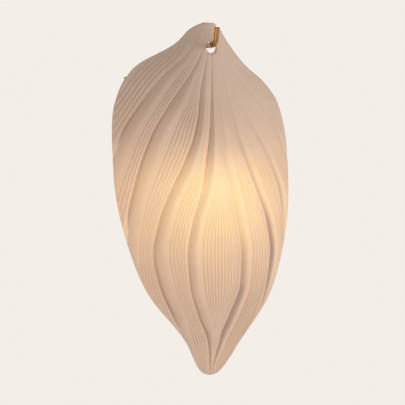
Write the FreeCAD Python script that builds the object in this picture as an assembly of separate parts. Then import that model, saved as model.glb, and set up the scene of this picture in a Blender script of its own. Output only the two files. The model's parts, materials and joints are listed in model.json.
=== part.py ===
"""Shell wall sconce: a pleated, ribbed resin shell hung on a brass hook in front of a small lamp.

Millimetres. Z is up, the wall is the plane y = 0 and the room lies at negative y.
The origin is on the wall, at the middle of the canopy's back. Places are written as
(x, front, z), where front is the distance from the wall.
"""
import FreeCAD, Part
import math
import os

from FreeCAD import Placement, Rotation, Vector

# --- Driving dimensions ---------------------------------------------------------------

# Shell, which hangs by its hole
shell_height = 402.0
shell_half_width = 115.0
shell_wall = 4.6
hole_below_top = 28.5            # from the top edge to the hole's centre
hole_radius = 6.4
hole_height = 75.0               # the hole's centre above the origin
hole_front = 129.7               # the middle of the shell's wall at the hole
shell_bulge = 15.5               # the middle stands this far in front of the wall at the hole
left_fold_depths = (5.2, 6.2, 8.0, 8.0)      # of the four folds, from the middle outwards
right_fold_depths = (3.8, 3.8, 3.2, 2.6)
fold_settles = 0.26              # folds are at their full depth from this share of the height on
tip_calms = 0.10                 # and die away over this share before the tip
rim_calms = 20.0                 # and over this distance from the rim
steep_flank = 4.0                # across a fold, on its steep side
ridge_breadth = 7.5              # the smooth ridge beside a fold
ridge_rise = 1.3
crown_rise = 1.6                 # a panel's middle stands this far proud of its folds
middle_ribs = 12
left_ribs = (6, 6, 4)            # between folds 1 and 2, 2 and 3, 3 and 4
right_ribs = (7, 6, 4)
outer_ribs = 5                   # past the last fold
outer_rib_pitch = 5.0
rib_depth = 1.2
rib_share = 0.30                 # a narrow rib is this deep for its pitch
least_rib_pitch = 1.2            # where ribs have faded away
fan_margin = 14.0                # the fan is drawn out this far past the outline
narrow_panel = 22.0              # folds are shallower where a panel is narrower than this
fold_margin = 1.0
run_out_steps = 3
fold_touch = 0.001               # a place this near a fold counts as on it

# Hook
rod_radius = 3.0
hook_root_height = 40.0
hook_knee_front = 48.0           # where the rod starts to climb
hook_crest_front = 92.0
hook_crest_rise = 11.5           # the crest's corner above the seat
hook_dip_front = 116.0           # where the rod levels out for the seat
hook_tip_front = 10.9            # the upturn's corner, ahead of the hole
hook_tip_height = 20.0           # from the seat to the free end
hook_lean = 3.9                  # how far the upturn leans forward
hook_root_bend = 20.0
hook_crest_bend = 14.0
hook_dip_bend = 10.0
hook_tip_bend = 7.0
sleeve_wall = 0.55
sleeve_length = 7.0
running_gap = 0.05               # shafts and sleeves that turn
resting_gap = 0.1                # between the sleeve and the shell it carries

# Canopy and the bracket behind it
canopy_width = 88.0
canopy_height = 100.0
canopy_depth = 22.0
canopy_wall = 1.5
canopy_corner = 4.0
canopy_edge = 1.2
bracket_width = 80.0
bracket_height = 64.0
bracket_sheet = 2.0
bracket_corner = 5.0
tab_half_height = 9.0
tab_depth = 15.0
tab_gap = 0.15
slot_spacing = 60.0
slot_length = 10.0
slot_radius = 2.5
side_screw_radius = 2.0
side_screw_front = 8.0
side_screw_head_radius = 3.8
side_screw_head_height = 2.2
side_screw_length = 8.0
screw_gap = 0.1

# Cable entry
entry_inset = 14.0               # from the bracket's left edge
entry_z = 19.0
grommet_bore_radius = 4.0
grommet_neck_radius = 6.0
grommet_flange_radius = 8.0
grommet_flange = 1.6

# Fixings behind and before the canopy's face
washer_sheet = 1.0
hook_nut_across = 10.0
hook_nut_height = 5.0
hook_washer_radius = 8.0
hook_rosette_radius = 9.0
hook_rosette_height = 4.5
thread_end = 1.6                 # a thread stands this far out of its nut
arm_nut_across = 14.0
arm_nut_height = 3.5
arm_washer_radius = 9.0
arm_rosette_radius = 12.0
arm_rosette_height = 5.0

# Lamp arm and lampholder, which points down
lamp_front = 74.0
arm_height = 14.0
arm_radius = 5.0
arm_bore_radius = 4.0
arm_bend = 18.0
arm_end_height = -15.0
cup_top_height = -8.0
cup_wall = 1.2
cup_radius = 17.0
cup_length = 46.0
cup_shoulder = 9.0
cup_nut_radius = 8.0
cup_nut_height = 4.0
holder_radius = 13.6
holder_wall = 2.0
holder_boss_radius = 8.0
holder_boss_height = 6.8
holder_roof = 2.5
holder_length = 32.0
insert_radius = 11.5
insert_length = 29.0
insert_roof = 8.0                # solid ceramic above the centre contact
well_radius = 6.0
well_depth = 7.2
contact_sheet = 0.5
contact_shell_length = 13.4

# Bulb
bulb_centre_height = -85.0
bulb_radius = 22.5
bulb_length = 78.0
glass_wall = 0.9
neck_radius = 8.2
neck_flare = 14.0
neck_height = 34.0               # from the bulb's centre to the top of the glass neck
cap_radius = 7.0
cap_skirt_radius = 8.8
cap_skirt_height = 8.0
cap_thread_height = 13.5
cap_wall = 0.35
cap_overlap = 5.0                # how far the skirt reaches over the glass neck
insulator_height = 3.2
insulator_top_radius = 3.2
tip_radius = 2.4
stem_radius = 3.2
stem_foot_radius = 6.4
stem_length = 24.0
wire_radius = 0.35
filament_count = 4
filament_radius = 0.8
filament_length = 24.0
filament_circle = 6.5

# Wiring inside the canopy
block_width = 32.0
block_height = 16.0
block_depth = 12.0
block_z = -20.0
block_wire_depth = 5.0           # from the bracket to the middle of a wire
terminal_count = 3
terminal_spacing = 9.5
terminal_screw_radius = 1.9
terminal_screw_sink = 1.2
terminal_screw_rise = 5.0
block_screw_radius = 1.5
block_screw_head_radius = 2.4
lead_radius = 0.9
lead_spread = 1.7
lead_bend = 4.0
lead_straight = 6.0              # a lead runs straight this far before a terminal
lead_plunge = 4.0                # how far a lead reaches into a terminal
earth_inset = 8.0                # from the bracket's right edge
earth_z = -23.0
earth_screw_radius = 2.0
earth_head_radius = 3.6
earth_head_height = 2.4
earth_lug_radius = 4.2
earth_lug_sheet = 0.8
lug_barrel_radius = 1.5
lug_barrel_length = 4.5

# --- The shell's form, as shares of its height from the top edge ------------------------

# Half width of the outline, as a share of the greatest
outline_shares = ((0.000, 0.063), (0.018, 0.175), (0.046, 0.262), (0.075, 0.385),
                  (0.103, 0.550), (0.152, 0.775), (0.218, 0.925), (0.346, 1.000),
                  (0.503, 0.983), (0.647, 0.870), (0.789, 0.645), (0.903, 0.310),
                  (0.950, 0.205), (0.978, 0.135), (1.000, 0.000))
# How far the middle stands in front of the wall at the hole, as a share of the bulge
ridge_shares = ((0.00, -0.26), (0.07, 0.00), (0.22, 0.46), (0.36, 0.85), (0.60, 1.00),
                (0.80, 0.91), (0.90, 0.62), (1.00, -0.06))
# How quickly a level curves back to the wall, per half width
curve_shares = ((0.00, 3.10), (0.07, 1.52), (0.11, 1.01), (0.16, 0.52), (0.22, 0.345),
                (0.36, 0.288), (0.60, 0.253), (1.00, 0.276))
# Where the four folds of each side lie, as shares of the half width
left_folds = ((0.00, 0.007, 0.022, 0.043, 0.078), (0.05, 0.009, 0.035, 0.074, 0.148),
              (0.10, 0.011, 0.063, 0.126, 0.270), (0.15, 0.017, 0.103, 0.234, 0.470),
              (0.20, 0.026, 0.135, 0.361, 0.626), (0.26, 0.043, 0.165, 0.504, 0.774),
              (0.32, 0.063, 0.217, 0.626, 0.904), (0.40, 0.109, 0.330, 0.735, 1.017),
              (0.48, 0.161, 0.470, 0.813, 1.096), (0.56, 0.252, 0.579, 0.878, 1.148),
              (0.65, 0.304, 0.637, 0.904, 1.183), (0.74, 0.278, 0.577, 0.870, 1.148),
              (0.82, 0.196, 0.461, 0.748, 1.026), (0.90, 0.068, 0.330, 0.574, 0.817),
              (1.00, 0.009, 0.122, 0.243, 0.365))
right_folds = ((0.00, 0.009, 0.026, 0.052, 0.078), (0.05, 0.022, 0.057, 0.087, 0.139),
               (0.10, 0.038, 0.087, 0.117, 0.200), (0.15, 0.039, 0.117, 0.152, 0.333),
               (0.20, 0.038, 0.150, 0.235, 0.513), (0.26, 0.044, 0.184, 0.358, 0.734),
               (0.32, 0.055, 0.243, 0.517, 0.887), (0.40, 0.104, 0.374, 0.709, 1.009),
               (0.48, 0.178, 0.509, 0.843, 1.096), (0.56, 0.243, 0.638, 0.891, 1.148),
               (0.65, 0.306, 0.701, 0.904, 1.183), (0.74, 0.291, 0.643, 0.870, 1.148),
               (0.82, 0.174, 0.530, 0.765, 1.026), (0.90, 0.057, 0.339, 0.574, 0.817),
               (1.00, 0.0125, 0.122, 0.243, 0.365))
# Breadth of the flank on the right of a left fold, and on both sides of a right one,
# as multiples of the steep flank
left_fold_inner = ((0.35, 2.3), (0.52, 1.2))
right_fold_inner = ((0.38, 2.3), (0.55, 1.0))
right_fold_outer = ((0.38, 0.9), (0.55, 1.1))
# Ribs are faint high on the right, as a share of their depth
right_rib_shares = ((0.30, 0.25), (0.46, 1.00))
# The levels at which every line down the shell is fixed
line_levels = (-0.02, 0.03, 0.07, 0.12, 0.17, 0.22, 0.27, 0.32, 0.38, 0.44, 0.50, 0.56, 0.62,
               0.68, 0.74, 0.79, 0.84, 0.88, 0.92, 0.96, 1.02)

# --- Worked-out sizes ---------------------------------------------------------------------

entry_x = entry_inset - bracket_width / 2
earth_x = bracket_width / 2 - earth_inset
face_front = canopy_depth
face_back = canopy_depth - canopy_wall
hole_lip = shell_wall / 2        # the hole's edge is rounded over the whole wall
sleeve_radius = rod_radius + running_gap + sleeve_wall
seat_height = hole_height + hole_radius - sleeve_radius - resting_gap
tilt_height = hole_height + hole_radius + hole_lip
bulb_bottom = bulb_centre_height - bulb_radius
bulb_tip = bulb_bottom + bulb_length
glass_top = bulb_centre_height + neck_height


# --- Helpers ------------------------------------------------------------------------------

def spot(x, front, z):
    """A point given by its distance in front of the wall."""
    return Vector(x, -front, z)


def smooth(levels, share):
    """A soft curve through a few (share, value) pairs, straight on past both ends."""
    if share <= levels[0][0]:
        return levels[0][1]
    if share >= levels[-1][0]:
        return levels[-1][1]
    count = len(levels)
    for i in range(count - 1):
        if levels[i][0] <= share <= levels[i + 1][0]:
            break
    here, there = levels[i], levels[i + 1]
    step = there[0] - here[0]

    def slope(k):
        if k == 0 or k == count - 1:
            return 0.0
        before, after = levels[k - 1], levels[k + 1]
        left = (levels[k][1] - before[1]) / (levels[k][0] - before[0])
        right = (after[1] - levels[k][1]) / (after[0] - levels[k][0])
        if left * right <= 0:
            return 0.0
        return 2 * left * right / (left + right)

    t = (share - here[0]) / step
    return ((2 * t**3 - 3 * t**2 + 1) * here[1] + (t**3 - 2 * t**2 + t) * step * slope(i)
            + (3 * t**2 - 2 * t**3) * there[1] + (t**3 - t**2) * step * slope(i + 1))


def lathe(profile, place, axis=Vector(0, 0, 1)):
    """Turn a closed (radius, height) profile round an axis through a place."""
    corners = [Vector(radius, 0, height) for radius, height in profile]
    face = Part.Face(Part.makePolygon(corners + corners[:1]))
    solid = face.revolve(Vector(0, 0, 0), Vector(0, 0, 1), 360)
    solid.Placement = Placement(place, Rotation(Vector(0, 0, 1), axis))
    return solid


def cylinder(radius, start, end):
    run = end - start
    return Part.makeCylinder(radius, run.Length, start, run)


def pipe(outer, inner, start, end):
    return cylinder(outer, start, end).cut(cylinder(inner, start, end))


def slab(width, height, back, front, z=0.0, corner=0.0):
    """A plate parallel to the wall with rounded corners, its middle at x = 0."""
    plate = Part.makeBox(width, front - back, height, spot(-width / 2, front, z - height / 2))
    if corner:
        edges = [e for e in plate.Edges if abs(e.tangentAt(e.FirstParameter).y) > 0.99]
        plate = plate.makeFillet(corner, edges)
    return plate


def hexagon(across, start, end, bore):
    """A hexagon nut with a plain bore."""
    run = end - start
    reach = across / math.sqrt(3)
    turn = Rotation(Vector(0, 0, 1), run)
    corners = [Vector(reach * math.cos(math.radians(60 * k)), reach * math.sin(math.radians(60 * k)), 0)
               for k in range(7)]
    body = Part.Face(Part.makePolygon(corners)).extrude(Vector(0, 0, run.Length))
    body.Placement = Placement(start, turn)
    dome = lathe(((0, 0), (reach - 0.9, 0), (reach, 0.7), (reach, run.Length - 0.7),
                  (reach - 0.9, run.Length), (0, run.Length)), start, run)
    return body.common(dome).cut(cylinder(bore, start, end))


def rounded_path(points, bends):
    """Straight runs joined by arcs that touch both runs."""
    edges = []
    start = points[0]
    for corner, following, bend in zip(points[1:-1], points[2:], bends):
        back = (start - corner).normalize()
        ahead = (following - corner).normalize()
        half_turn = (math.pi - back.getAngle(ahead)) / 2
        reach = bend * math.tan(half_turn)
        enter = corner + back * reach
        leave = corner + ahead * reach
        inward = (back + ahead).normalize()
        middle = corner + inward * (bend / math.cos(half_turn) - bend)
        edges.append(Part.LineSegment(start, enter).toShape())
        edges.append(Part.Arc(enter, middle, leave).toShape())
        start = leave
    edges.append(Part.LineSegment(start, points[-1]).toShape())
    return Part.Wire(edges)


def rod_along(path, radius):
    """A round rod that follows a path."""
    first = path.Edges[0]
    start = first.valueAt(first.FirstParameter)
    heading = first.tangentAt(first.FirstParameter)
    ring = Part.Wire(Part.makeCircle(radius, start, heading))
    return path.makePipeShell([ring], True, False)


# --- Shell ----------------------------------------------------------------------------------

def level_height(share):
    return hole_height + hole_below_top - share * shell_height


def fold_x(number, share):
    """Where a fold lies. Folds are numbered from -4 on the far left to 4, without 0."""
    rows = right_folds if number > 0 else left_folds
    width = smooth([(row[0], row[abs(number)]) for row in rows], share)
    return math.copysign(width * shell_half_width, number)


fold_numbers = (-4, -3, -2, -1, 1, 2, 3, 4)


def fold_depth(number):
    return (right_fold_depths if number > 0 else left_fold_depths)[abs(number) - 1]


def flank(number, on_right, share):
    """Breadth of a fold's flank on one of its sides."""
    if number < 0:
        return steep_flank * (smooth(left_fold_inner, share) if on_right else 1.0)
    return steep_flank * smooth(right_fold_outer if on_right else right_fold_inner, share)


def panel(left, right, share):
    """(start, width, flank on the left, ridge, flank on the right) of the panel between two folds."""
    start = fold_x(left, share)
    width = fold_x(right, share) - start
    first, last = flank(left, True, share), flank(right, False, share)
    squeeze = min(1.0, 0.5 * width / (first + ridge_breadth))
    return start, width, first * squeeze, ridge_breadth * squeeze, min(last, 0.3 * width)


def half_width_at(share):
    return smooth(outline_shares, share) * shell_half_width


def calm(x, share):
    """How much of a fold is left: none at the top, at the tip and at the rim."""
    settled = min(1.0, max(0.0, share / fold_settles)) * min(1.0, max(0.0, (1.02 - share) / tip_calms))
    rim = half_width_at(share)
    reach = min(rim_calms, 0.5 * rim + fold_margin)
    near = min(1.0, max(0.0, (rim - abs(x)) / reach))
    return settled * near * near * (3 - 2 * near)


def fold_fall(x, share):
    """How far the surface lies behind the panels at a place, because of folds, ridges and crowns."""
    places = [fold_x(number, share) for number in fold_numbers]
    count = sum(1 for place in places if x > place + fold_touch)
    fall = 0.0
    if 0 < count < len(places):
        left, right = fold_numbers[count - 1], fold_numbers[count]
        start, width, first, ridge, last = panel(left, right, share)
        along = min(max(x - start, 0.0), width)
        fall += fold_depth(left) * max(0.0, 1 - along / first) ** 1.7
        fall += fold_depth(right) * max(0.0, 1 - (width - along) / last) ** 1.7
        crest = min(1.0, max(0.0, (along - 0.4 * first) / (0.6 * first + ridge)))
        fall -= ridge_rise * math.sin(math.pi * crest) ** 2
        across = along / width
        fall += crown_rise * (1 - 4 * across * (1 - across))
        fall *= min(1.0, width / narrow_panel)
    else:
        number = fold_numbers[0] if count == 0 else fold_numbers[-1]
        away = abs(x - fold_x(number, share))
        fall += fold_depth(number) * max(0.0, 1 - away / flank(number, count > 0, share)) ** 1.7
    return fall * calm(x, share)


def front_at(x, share, groove=0.0):
    """Distance of the shell's outer face from the wall; a groove is cut that much deeper."""
    front = hole_front + shell_wall / 2 + shell_bulge * smooth(ridge_shares, share)
    front -= smooth(curve_shares, share) * x * x / shell_half_width
    return front - fold_fall(x, share) - groove


def groove_depth(pitch, x, share):
    depth = min(rib_depth, max(0.0, rib_share * (pitch - least_rib_pitch)))
    return depth * (smooth(right_rib_shares, share) if x > 0 else 1.0)


def panel_lines(left, right, ribs, share):
    """(x, groove) of the lines from one fold to just before the next."""
    start, width, first, ridge, last = panel(left, right, share)
    begin, end = first + 0.8 * ridge, width - 0.8 * last
    pitch = (end - begin) / ribs
    lines = [(start, 0.0), (start + 0.3 * first, 0.0), (start + first, 0.0)]
    for k in range(2 * ribs + 1):
        x = start + begin + pitch * k / 2
        lines.append((x, groove_depth(pitch, x, share) if k % 2 else 0.0))
    return lines + [(start + width - 0.35 * last, 0.0)]


def run_out(last, share):
    """Places from the last line to past the outline, in equal steps."""
    edge = math.copysign(max(abs(last), half_width_at(share)) + fan_margin, last)
    return [last + (edge - last) * k / run_out_steps for k in range(1, run_out_steps + 1)]


def outer_lines(number, share):
    """(x, groove) of the lines from the last fold outwards."""
    side = 1 if number > 0 else -1
    start = fold_x(number, share)
    breadth = flank(number, number > 0, share)
    lines = [(start + side * 0.3 * breadth, 0.0)]
    for k in range(2 * outer_ribs + 1):
        x = start + side * (0.8 * breadth + outer_rib_pitch * k / 2)
        lines.append((x, groove_depth(outer_rib_pitch, x, share) if k % 2 else 0.0))
    return lines + [(x, 0.0) for x in run_out(lines[-1][0], share)]


def level_lines(share):
    """(x, groove) across the whole fan at one level: always as many and in the same order."""
    ribs = left_ribs[::-1] + (middle_ribs,) + right_ribs
    lines = outer_lines(fold_numbers[0], share)[::-1]
    for left, right, count in zip(fold_numbers, fold_numbers[1:], ribs):
        lines += panel_lines(left, right, count, share)
    return lines + [(fold_x(fold_numbers[-1], share), 0.0)] + outer_lines(fold_numbers[-1], share)


def back_level_lines(share):
    """The smooth back follows the folds, the flanks and the ridges only."""
    outermost = fold_x(fold_numbers[0], share) - steep_flank
    lines = run_out(outermost, share)[::-1] + [outermost]
    for left, right in zip(fold_numbers, fold_numbers[1:]):
        start, width, first, ridge, last = panel(left, right, share)
        lines += [start, start + first, start + first + ridge, start + 0.72 * width, start + width - 0.8 * last]
    outermost = fold_x(fold_numbers[-1], share)
    lines += [outermost, outermost + steep_flank] + run_out(outermost + steep_flank, share)
    return [(x, 0.0) for x in lines]


def lines_down(lines_at, inset):
    """Soft curves down the shell, one for each place that lines_at gives at every level."""
    levels = [lines_at(share) for share in line_levels]
    curves = []
    for places in zip(*levels):
        points = [spot(x, front_at(x, share, groove) - inset, level_height(share))
                  for share, (x, groove) in zip(line_levels, places)]
        curve = Part.BSplineCurve()
        curve.interpolate(points)
        curves.append(curve.toShape())
    return curves


def strips_between(lines):
    return [Part.makeRuledSurface(a, b) for a, b in zip(lines, lines[1:])]


def end_cap(outer, inner, last):
    """The flat face that closes the sheet of strips at its top or its foot."""
    def corner(line):
        return line.valueAt(line.LastParameter if last else line.FirstParameter)
    corners = [corner(line) for line in outer] + [corner(line) for line in reversed(inner)]
    return Part.Face(Part.makePolygon(corners + corners[:1]))


def shell_sheet():
    """The ribbed sheet before its outline is cut: ruled strips between the rib lines."""
    outer = lines_down(level_lines, 0.0)
    inner = lines_down(back_level_lines, shell_wall)
    faces = strips_between(outer) + strips_between(inner)
    faces.append(Part.makeRuledSurface(outer[0], inner[0]))
    faces.append(Part.makeRuledSurface(outer[-1], inner[-1]))
    faces.append(end_cap(outer, inner, False))
    faces.append(end_cap(outer, inner, True))
    joined = Part.makeShell(faces)
    joined.sewShape()
    sheet = Part.Solid(joined)
    if sheet.Volume < 0:
        sheet.reverse()
    return sheet


def shell_outline():
    """The petal outline, seen from the front, as a block through the whole sheet."""
    def side(sign):
        points = [spot(sign * shell_half_width * width, 0, level_height(share))
                  for share, width in outline_shares]
        curve = Part.BSplineCurve()
        curve.interpolate(points)
        return curve.toShape()
    right, left = side(1), side(-1)
    top = Part.LineSegment(left.valueAt(left.FirstParameter), right.valueAt(right.FirstParameter)).toShape()
    face = Part.Face(Part.Wire([top, right, left]))
    return face.extrude(Vector(0, -2 * hole_front, 0))


def hole_tool():
    """Cuts the hook's hole with an edge that is rounded over the whole wall."""
    middle = Vector(0, 0, 0)
    ring = hole_radius + hole_lip
    far = 4 * shell_wall
    arc = Part.Arc(Vector(ring, 0, -hole_lip), Vector(hole_radius, 0, 0), Vector(ring, 0, hole_lip)).toShape()
    rest = Part.makePolygon([Vector(ring, 0, hole_lip), Vector(ring, 0, far), Vector(0, 0, far),
                             Vector(0, 0, -far), Vector(ring, 0, -far), Vector(ring, 0, -hole_lip)])
    face = Part.Face(Part.Wire([arc] + rest.Edges))
    tool = face.revolve(middle, Vector(0, 0, 1), 360)
    tool.Placement = Placement(spot(0, hole_front, hole_height), Rotation(Vector(0, 0, 1), Vector(0, -1, 0)))
    return tool


def make_shell():
    shell = shell_sheet().common(shell_outline()).cut(hole_tool())
    return shell.Solids[0]


# --- Hook -------------------------------------------------------------------------------------

def hook_path():
    """Out of the canopy, up over a crest, down into the seat and up again in front of the shell."""
    root = spot(0, face_back - washer_sheet - hook_nut_height - thread_end, hook_root_height)
    knee = spot(0, hook_knee_front, hook_root_height)
    crest = spot(0, hook_crest_front, seat_height + hook_crest_rise)
    dip = spot(0, hook_dip_front, seat_height)
    upturn = spot(0, hole_front + hook_tip_front, seat_height)
    tip = spot(0, hole_front + hook_tip_front + hook_lean, seat_height + hook_tip_height)
    bends = (hook_root_bend, hook_crest_bend, hook_dip_bend, hook_tip_bend)
    return rounded_path([root, knee, crest, dip, upturn, tip], bends)


def make_hook_sleeve():
    start = spot(0, hole_front - sleeve_length / 2, seat_height)
    end = spot(0, hole_front + sleeve_length / 2, seat_height)
    return pipe(sleeve_radius, rod_radius + running_gap, start, end)


def make_hook_rosette():
    """The turned collar where the rod leaves the canopy."""
    profile = ((rod_radius, 0), (hook_rosette_radius, 0), (hook_rosette_radius, 1.6),
               (hook_rosette_radius - 1.0, 2.4), (rod_radius + 2.0, hook_rosette_height - 0.6),
               (rod_radius + 1.4, hook_rosette_height), (rod_radius, hook_rosette_height))
    return lathe(profile, spot(0, face_front, hook_root_height), Vector(0, -1, 0))


def make_hook_washer():
    return pipe(hook_washer_radius, rod_radius, spot(0, face_back - washer_sheet, hook_root_height),
                spot(0, face_back, hook_root_height))


def make_hook_nut():
    front = face_back - washer_sheet
    return hexagon(hook_nut_across, spot(0, front - hook_nut_height, hook_root_height),
                   spot(0, front, hook_root_height), rod_radius)


# --- Canopy and bracket -------------------------------------------------------------------------

def make_canopy():
    """A pressed box, open towards the wall."""
    outer = slab(canopy_width, canopy_height, 0, face_front, corner=canopy_corner)
    front_edges = [e for e in outer.Edges if abs(e.BoundBox.YMin + face_front) < 0.01
                   and e.BoundBox.YLength < 0.01]
    outer = outer.makeFillet(canopy_edge, front_edges)
    inner = slab(canopy_width - 2 * canopy_wall, canopy_height - 2 * canopy_wall, -1, face_back,
                 corner=canopy_corner - canopy_wall)
    holes = [cylinder(rod_radius + screw_gap, spot(0, face_back - 1, hook_root_height),
                      spot(0, face_front + 1, hook_root_height)),
             cylinder(arm_radius + screw_gap, spot(0, face_back - 1, arm_height),
                      spot(0, face_front + 1, arm_height)),
             cylinder(side_screw_radius + screw_gap, spot(-canopy_width, side_screw_front, 0),
                      spot(canopy_width, side_screw_front, 0))]
    return outer.cut(inner).cut(Part.makeCompound(holes))


def make_bracket():
    """Sheet steel against the wall, with a folded tab on each side for the canopy's screws."""
    plate = slab(bracket_width, bracket_height, 0, bracket_sheet, corner=bracket_corner)
    reach = canopy_width / 2 - canopy_wall - tab_gap
    wings = slab(2 * reach, 2 * tab_half_height, 0, bracket_sheet)
    solid = plate.fuse(wings)
    for side in (-1, 1):
        outer = side * reach
        inner = side * (reach - bracket_sheet)
        tab = Part.makeBox(bracket_sheet, tab_depth, 2 * tab_half_height,
                           spot(min(outer, inner), tab_depth, -tab_half_height))
        solid = solid.fuse(tab)
    solid = solid.removeSplitter()
    cuts = [cylinder(side_screw_radius + screw_gap / 2, spot(-canopy_width, side_screw_front, 0),
                     spot(canopy_width, side_screw_front, 0)),
            cylinder(grommet_neck_radius, spot(entry_x, -1, entry_z), spot(entry_x, bracket_sheet + 1, entry_z)),
            cylinder(earth_screw_radius, spot(earth_x, -1, earth_z), spot(earth_x, bracket_sheet + 1, earth_z))]
    for x in block_screw_places():
        cuts.append(cylinder(block_screw_radius, spot(x, -1, block_z), spot(x, bracket_sheet + 1, block_z)))
    for side in (-1, 1):
        middle = side * slot_spacing / 2
        flat = slot_length / 2 - slot_radius
        cuts.append(Part.makeBox(2 * flat, bracket_sheet + 2, 2 * slot_radius,
                                 spot(middle - flat, bracket_sheet + 1, -slot_radius)))
        for end in (-flat, flat):
            cuts.append(cylinder(slot_radius, spot(middle + end, -1, 0), spot(middle + end, bracket_sheet + 1, 0)))
    for cut in cuts:
        solid = solid.cut(cut)
    return solid.removeSplitter()


def make_canopy_screws():
    """Two slotted screws, one through each side of the canopy."""
    screws = []
    for side in (-1, 1):
        outward = Vector(side, 0, 0)
        seat = spot(side * canopy_width / 2, side_screw_front, 0)
        profile = ((0, -side_screw_length), (side_screw_radius, -side_screw_length), (side_screw_radius, 0),
                   (side_screw_head_radius, 0), (side_screw_head_radius, side_screw_head_height * 0.45),
                   (side_screw_head_radius * 0.82, side_screw_head_height * 0.85),
                   (side_screw_head_radius * 0.5, side_screw_head_height), (0, side_screw_head_height))
        screw = lathe(profile, seat, outward)
        slot_width = side_screw_head_radius * 0.24
        slot_floor = side_screw_head_height * 0.55
        slot = Part.makeBox(side_screw_head_height, 2 * side_screw_head_radius, slot_width,
                            Vector(0, -side_screw_head_radius, -slot_width / 2))
        slot.Placement = Placement(seat + outward * slot_floor, Rotation(Vector(1, 0, 0), outward))
        screws.append(screw.cut(slot))
    return Part.makeCompound(screws)


def make_grommet():
    """Rubber ring that lines the cable's hole in the bracket."""
    profile = ((grommet_bore_radius, 0), (grommet_neck_radius, 0), (grommet_neck_radius, bracket_sheet),
               (grommet_flange_radius, bracket_sheet), (grommet_flange_radius, bracket_sheet + grommet_flange * 0.6),
               (grommet_flange_radius - 0.8, bracket_sheet + grommet_flange),
               (grommet_bore_radius, bracket_sheet + grommet_flange))
    return lathe(profile, spot(entry_x, 0, entry_z), Vector(0, -1, 0))


# --- Lamp arm ------------------------------------------------------------------------------------

def arm_path():
    root = spot(0, face_back - washer_sheet - arm_nut_height - thread_end, arm_height)
    return rounded_path([root, spot(0, lamp_front, arm_height), spot(0, lamp_front, arm_end_height)], (arm_bend,))


def make_lamp_arm():
    """A bent tube that carries the leads and the lampholder."""
    return rod_along(arm_path(), arm_radius).cut(rod_along(arm_path(), arm_bore_radius))


def make_arm_rosette():
    profile = ((arm_radius, 0), (arm_rosette_radius, 0), (arm_rosette_radius, 1.6),
               (arm_rosette_radius - 1.2, 2.6), (arm_radius + 2.2, arm_rosette_height - 0.8),
               (arm_radius + 1.4, arm_rosette_height), (arm_radius, arm_rosette_height))
    return lathe(profile, spot(0, face_front, arm_height), Vector(0, -1, 0))


def make_arm_washer():
    return pipe(arm_washer_radius, arm_radius, spot(0, face_back - washer_sheet, arm_height),
                spot(0, face_back, arm_height))


def make_arm_nut():
    front = face_back - washer_sheet
    return hexagon(arm_nut_across, spot(0, front - arm_nut_height, arm_height), spot(0, front, arm_height), arm_radius)


# --- Lampholder ------------------------------------------------------------------------------------

def below(profile, height):
    """Turn a (radius, depth below a height) profile round the lamp's upright axis."""
    return lathe([(radius, -depth) for radius, depth in profile], spot(0, lamp_front, height))


def make_holder_cup():
    """The brass bell over the lampholder."""
    inside = cup_radius - cup_wall
    profile = ((arm_radius, 0), (arm_radius + 4.0, 0), (cup_radius - 3.0, cup_shoulder * 0.3),
               (cup_radius - 0.6, cup_shoulder), (cup_radius, cup_length), (inside, cup_length),
               (inside - 0.6, cup_shoulder + 0.4), (inside - 3.0, cup_shoulder * 0.3 + cup_wall),
               (arm_radius + 3.6, cup_wall), (arm_radius, cup_wall))
    return below(profile, cup_top_height)


def make_cup_nut():
    profile = ((arm_radius, 0), (cup_nut_radius, 0), (cup_nut_radius, -cup_nut_height * 0.6),
               (cup_nut_radius - 1.2, -cup_nut_height), (arm_radius, -cup_nut_height))
    return below(profile, cup_top_height)


def make_holder_body():
    """Moulded body of the lampholder, with the boss that screws onto the arm."""
    top = cup_top_height - cup_wall
    roof = holder_boss_height + holder_roof
    inside = holder_radius - holder_wall
    profile = ((arm_radius, 0), (holder_boss_radius, 0), (holder_boss_radius, holder_boss_height),
               (holder_radius - 1.0, holder_boss_height), (holder_radius, holder_boss_height + 1.0),
               (holder_radius, roof + holder_length), (inside, roof + holder_length),
               (inside, roof), (arm_radius, roof))
    return below(profile, top)


insert_top = cup_top_height - cup_wall - holder_boss_height - holder_roof


def make_holder_insert():
    """Ceramic insert that holds the contacts, with two holes for the leads."""
    bore = cap_radius + running_gap + contact_sheet
    mouth = insert_roof + well_depth
    profile = ((0, 0), (insert_radius, 0), (insert_radius, insert_length), (bore, insert_length),
               (bore, mouth), (well_radius, mouth), (well_radius, insert_roof), (0, insert_roof))
    solid = below(profile, insert_top)
    for side in (-1, 1):
        hole_top = spot(side * lead_spread, lamp_front, insert_top + 1)
        hole_end = spot(side * lead_spread, lamp_front, insert_top - lead_plunge)
        solid = solid.cut(cylinder(lead_radius + screw_gap, hole_top, hole_end))
    return solid


def make_contact_shell():
    """Thin brass socket that the bulb's cap turns in."""
    bore = cap_radius + running_gap
    start = spot(0, lamp_front, insert_top - insert_length)
    return pipe(bore + contact_sheet, bore, start, start + Vector(0, 0, contact_shell_length))


def make_centre_contact():
    """Springy brass tongue, folded back on itself, that presses on the bulb's tip."""
    roof = insert_top - insert_roof
    touch = bulb_tip + running_gap
    fold = tip_radius + contact_sheet
    tail = 1.2 - well_radius
    path = [Vector(tail, 0, roof), Vector(fold, 0, roof), Vector(fold, 0, touch), Vector(-tip_radius, 0, touch),
            Vector(-tip_radius, 0, touch + contact_sheet), Vector(tip_radius, 0, touch + contact_sheet),
            Vector(tip_radius, 0, roof - contact_sheet), Vector(tail, 0, roof - contact_sheet)]
    width = 1.2 * tip_radius
    face = Part.Face(Part.makePolygon(path + path[:1]))
    solid = face.extrude(Vector(0, -width, 0))
    solid.translate(spot(0, lamp_front - width / 2, 0))
    return solid


# --- Bulb ----------------------------------------------------------------------------------------------

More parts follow.
